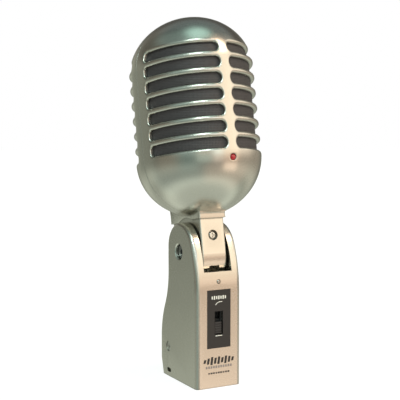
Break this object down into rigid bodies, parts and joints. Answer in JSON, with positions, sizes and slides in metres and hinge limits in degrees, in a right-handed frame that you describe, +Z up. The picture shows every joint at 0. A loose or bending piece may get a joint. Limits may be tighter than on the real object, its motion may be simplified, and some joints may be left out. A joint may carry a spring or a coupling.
{
  "type": "microphone",
  "caption": "Classic ribbed desktop microphone: oval slotted head that tilts on a forked stand base with a low-cut slide switch, XLR inlet and stand thread.",
  "frame": {"origin": "centre of the stand thread at the flat bottom face of the base", "axes": "+Z up along the stand thread, -Y towards the front (LED and switch side), +X to the object's left"},
  "size_m": [0.0626, 0.0813, 0.1881],
  "materials": {
    "satin_nickel": "satin champagne nickel plating on a die casting",
    "bright_steel": "bright zinc-plated steel",
    "black_steel": "black oxide steel",
    "brass": "turned brass",
    "gold_film": "gold-sputtered film",
    "dark_mesh": "dark woven wire mesh",
    "dark_foam": "open-cell foam",
    "black_plastic": "moulded",
    "capacitor_sleeve": "shrink sleeve",
    "nylon": "natural nylon",
    "soft_rubber": "matte",
    "cable_sleeve": "smooth sleeve",
    "circuit_board": "glass-epoxy laminate",
    "transformer_can": "drawn can",
    "led_lens": "tinted lens",
    "black_label": "black label plate"
  },
  "bodies": {
    "base": {"base_housing": "satin_nickel", "bottom_plate": "satin_nickel", "bottom_screws": "bright_steel", "thread_insert": "brass", "label_plate": "black_label", "stop_pin": "bright_steel", "switch_body": "black_plastic", "switch_board": "circuit_board", "switch_screws": "bright_steel", "xlr_shell": "bright_steel", "xlr_insulator": "black_plastic", "xlr_pins": "bright_steel", "xlr_screws": "bright_steel", "base_harness": "cable_sleeve", "pivot_pin": "bright_steel", "pivot_bushings": "nylon", "friction_washers": "nylon", "pivot_screws": "black_steel"},
    "head": {"front_grille": "satin_nickel", "rear_grille": "satin_nickel", "shell_screws": "bright_steel", "lug_screws": "bright_steel", "front_mesh": "dark_mesh", "rear_mesh": "dark_mesh", "front_foam": "dark_foam", "rear_foam": "dark_foam", "mid_frame": "black_plastic", "chassis_plate": "bright_steel", "tongue_screws": "bright_steel", "frame_screws": "bright_steel", "capsule_body": "black_plastic", "capsule_backplate": "brass", "capsule_diaphragm": "gold_film", "capsule_ring": "brass", "capsule_screws": "bright_steel", "capsule_arms": "black_plastic", "capsule_grommets": "soft_rubber", "preamp_board": "circuit_board", "board_brackets": "bright_steel", "capacitors": "capacitor_sleeve", "output_transformer": "transformer_can", "transistor": "black_plastic", "led": "led_lens", "led_holder": "black_plastic", "led_leads": "cable_sleeve", "capsule_leads": "cable_sleeve", "head_harness": "cable_sleeve", "swivel_tongue": "satin_nickel", "friction_shoe": "brass"},
    "slider": {"switch_slider": "black_plastic"},
    "tension": {"tension_screw": "bright_steel"}
  },
  "joints": [
    {"name": "head_tilt", "type": "hinge", "parent": "base", "child": "head", "pos_m": [0, 0, 0.0675], "axis": [1, 0, 0], "range_deg": [-35, 60]},
    {"name": "low_cut_slide", "type": "slide", "parent": "base", "child": "slider", "axis": [0, 0, 1], "range_m": [0, 0.0048]},
    {"name": "tension_turn", "type": "hinge", "parent": "head", "child": "tension", "pos_m": [0, -0.00856, 0.07604], "axis": [0, -0.9826, 0.1857], "range_deg": [-180, 90]}
  ]
}
